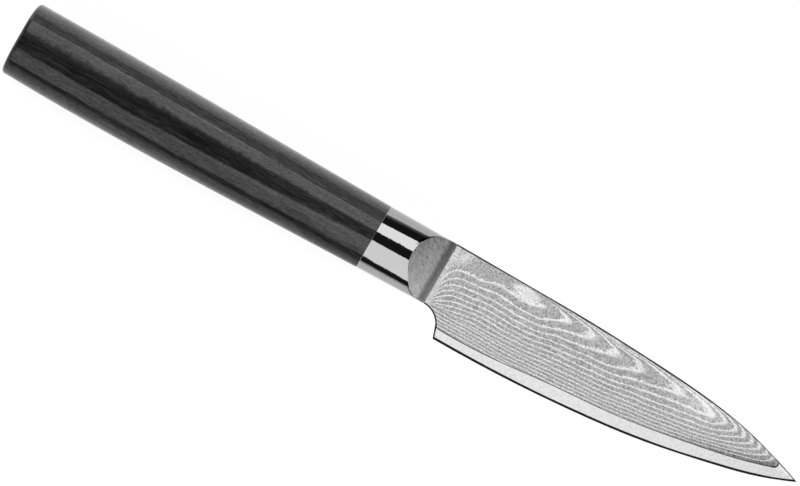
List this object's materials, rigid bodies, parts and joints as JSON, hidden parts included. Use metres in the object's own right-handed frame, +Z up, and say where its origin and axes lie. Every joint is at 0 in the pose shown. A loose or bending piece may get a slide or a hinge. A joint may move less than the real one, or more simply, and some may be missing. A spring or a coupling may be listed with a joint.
{
  "type": "paring knife",
  "caption": "Small paring knife: pattern-welded blade over a hard core, polished bolster with ground facets, D-shaped dark wood handle with a steel end cap.",
  "frame": {"origin": "centre of the knife's box at the surface it lies on, under the flat left side of the handle", "axes": "+X from the butt to the tip, along the spine; +Y from the cutting edge to the spine; +Z up, out of the blade's right side"},
  "size_m": [0.2054, 0.0218, 0.0158],
  "materials": {
    "core_steel": "satin, fine-ground",
    "patterned_steel": "etched pattern-welded layers, bead-blasted",
    "polished_steel": "mirror polish, with blasted facets",
    "bar_steel": "mill finish",
    "weld": "as welded",
    "adhesive": "cured epoxy",
    "handle_wood": "satin, resin-filled laminated wood with fine long grain",
    "cap_steel": "brushed"
  },
  "bodies": {
    "root": {"blade_core": "core_steel", "cladding_right": "patterned_steel", "cladding_left": "patterned_steel", "bolster": "polished_steel", "tang_bar": "bar_steel", "tang_weld": "weld", "tang_adhesive": "adhesive", "handle": "handle_wood", "end_cap": "cap_steel"}
  },
  "joints": []
}
